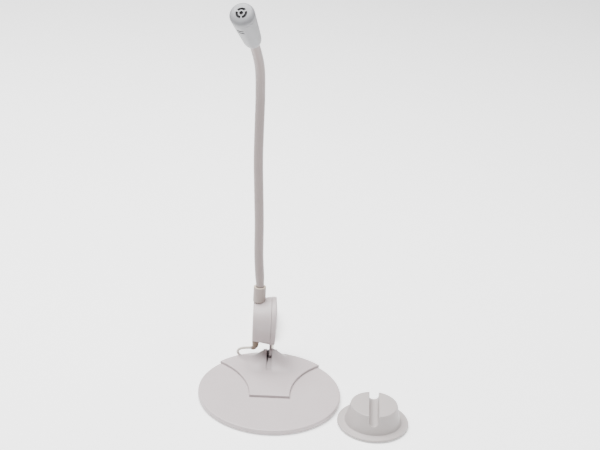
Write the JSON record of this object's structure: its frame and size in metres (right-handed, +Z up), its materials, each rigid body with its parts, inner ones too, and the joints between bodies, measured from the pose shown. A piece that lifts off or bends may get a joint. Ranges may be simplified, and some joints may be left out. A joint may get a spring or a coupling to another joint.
{
  "type": "desk gooseneck microphone",
  "caption": "Slim desk microphone on a bendable neck, on a tilting round housing and a weighted round base, with a loose stick-on neck holder and a thin lead with a jack plug.",
  "frame": {"origin": "centre of the round base's underside, on the desk", "axes": "+Z up, -Y towards the user, +X to the user's right as the user looks along +Y"},
  "size_m": [0.1749, 0.2139, 0.3459],
  "materials": {
    "shell": "satin moulded",
    "housing": "fine texture, moulded",
    "head": "fine texture, moulded",
    "holder": "satin moulded",
    "collar": "satin moulded",
    "relief": "moulded, matt",
    "sleeve": "smooth extruded",
    "inner_plastic": "plain moulded",
    "steel": "plain sheet",
    "screw_steel": "zinc plated",
    "neck_steel": "plain wound wire",
    "foam": "closed-cell foam",
    "board": "lacquered board",
    "board_parts": "moulded",
    "lead": "extruded insulation",
    "capsule": "drawn can",
    "boot": "moulded",
    "felt": "felt",
    "cord": "extruded, matt",
    "tie": "coated wire",
    "plug": "moulded, matt",
    "jack": "nickel plated"
  },
  "bodies": {
    "base": {"base_shell": "shell", "stand_saddle": "shell", "ballast_plate": "steel", "bottom_plate": "inner_plastic", "saddle_screws": "screw_steel", "foot_pad": "foam", "tilt_pin": "screw_steel", "cord_lead": "cord", "cord_hank": "cord", "cord_end": "cord", "cord_tie": "tie", "plug_body": "plug", "plug_jack": "jack"},
    "housing": {"housing_body": "housing", "housing_lid": "housing", "lid_screws": "screw_steel", "circuit_board": "board", "board_parts": "board_parts", "board_screws": "screw_steel", "neck_collar": "collar", "neck_anchor": "neck_steel", "anchor_nut": "screw_steel", "cord_relief": "relief"},
    "neck_1": {"neck_core_1": "neck_steel", "neck_sleeve_1": "sleeve", "neck_lead_1": "lead"},
    "neck_2": {"neck_core_2": "neck_steel", "neck_sleeve_2": "sleeve", "neck_lead_2": "lead"},
    "neck_3": {"neck_core_3": "neck_steel", "neck_sleeve_3": "sleeve", "neck_lead_3": "lead"},
    "neck_4": {"neck_core_4": "neck_steel", "neck_sleeve_4": "sleeve", "neck_lead_4": "lead"},
    "neck_5": {"neck_core_5": "neck_steel", "neck_sleeve_5": "sleeve", "neck_lead_5": "lead"},
    "neck_6": {"neck_core_6": "neck_steel", "neck_sleeve_6": "sleeve", "neck_lead_6": "lead"},
    "neck_7": {"neck_core_7": "neck_steel", "neck_sleeve_7": "sleeve", "neck_lead_7": "lead"},
    "head": {"neck_core_8": "neck_steel", "neck_sleeve_8": "sleeve", "neck_lead_8": "lead", "head_body": "head", "head_cap": "head", "mic_capsule": "capsule", "capsule_boot": "boot", "front_felt": "felt", "port_felt": "felt", "head_ferrule": "neck_steel", "capsule_leads": "lead"},
    "holder": {"neck_holder": "holder", "holder_pad": "foam"}
  },
  "joints": [
    {"name": "stand_tilt", "type": "hinge", "parent": "base", "child": "housing", "pos_m": [0, 0.048, 0.016], "axis": [1, 0, 0], "range_deg": [-30, 45]},
    {"name": "neck_side_1", "type": "hinge", "parent": "housing", "child": "neck_1", "pos_m": [-0.012, 0.048, 0.079], "axis": [0, 0.9999, 0.0122], "range_deg": [-20, 20]},
    {"name": "neck_nod_2", "type": "hinge", "parent": "neck_1", "child": "neck_2", "pos_m": [-0.0143, 0.0473, 0.1077], "axis": [0.9983, -0.002, 0.0582], "range_deg": [-20, 20]},
    {"name": "neck_side_3", "type": "hinge", "parent": "neck_2", "child": "neck_3", "pos_m": [-0.0154, 0.046, 0.1377], "axis": [0, 0.9985, 0.055], "range_deg": [-20, 20]},
    {"name": "neck_nod_4", "type": "hinge", "parent": "neck_3", "child": "neck_4", "pos_m": [-0.0171, 0.044, 0.1676], "axis": [0.9984, -0.0041, 0.0565], "range_deg": [-20, 20]},
    {"name": "neck_side_5", "type": "hinge", "parent": "neck_4", "child": "neck_5", "pos_m": [-0.0188, 0.0417, 0.1975], "axis": [0, 0.9959, 0.0901], "range_deg": [-20, 20]},
    {"name": "neck_nod_6", "type": "hinge", "parent": "neck_5", "child": "neck_6", "pos_m": [-0.0194, 0.0386, 0.2273], "axis": [0.9998, -0.0025, 0.0182], "range_deg": [-20, 20]},
    {"name": "neck_side_7", "type": "hinge", "parent": "neck_6", "child": "neck_7", "pos_m": [-0.0199, 0.0335, 0.2569], "axis": [0, 0.9612, 0.276], "range_deg": [-20, 20]},
    {"name": "neck_nod_8", "type": "hinge", "parent": "neck_7", "child": "head", "pos_m": [-0.0216, 0.0224, 0.284], "axis": [0.9928, -0.0576, 0.1048], "range_deg": [-20, 20]},
    {"name": "holder_lift", "type": "slide", "parent": "base", "child": "holder", "axis": [0, 0, 1], "range_m": [0, 0.04]}
  ]
}
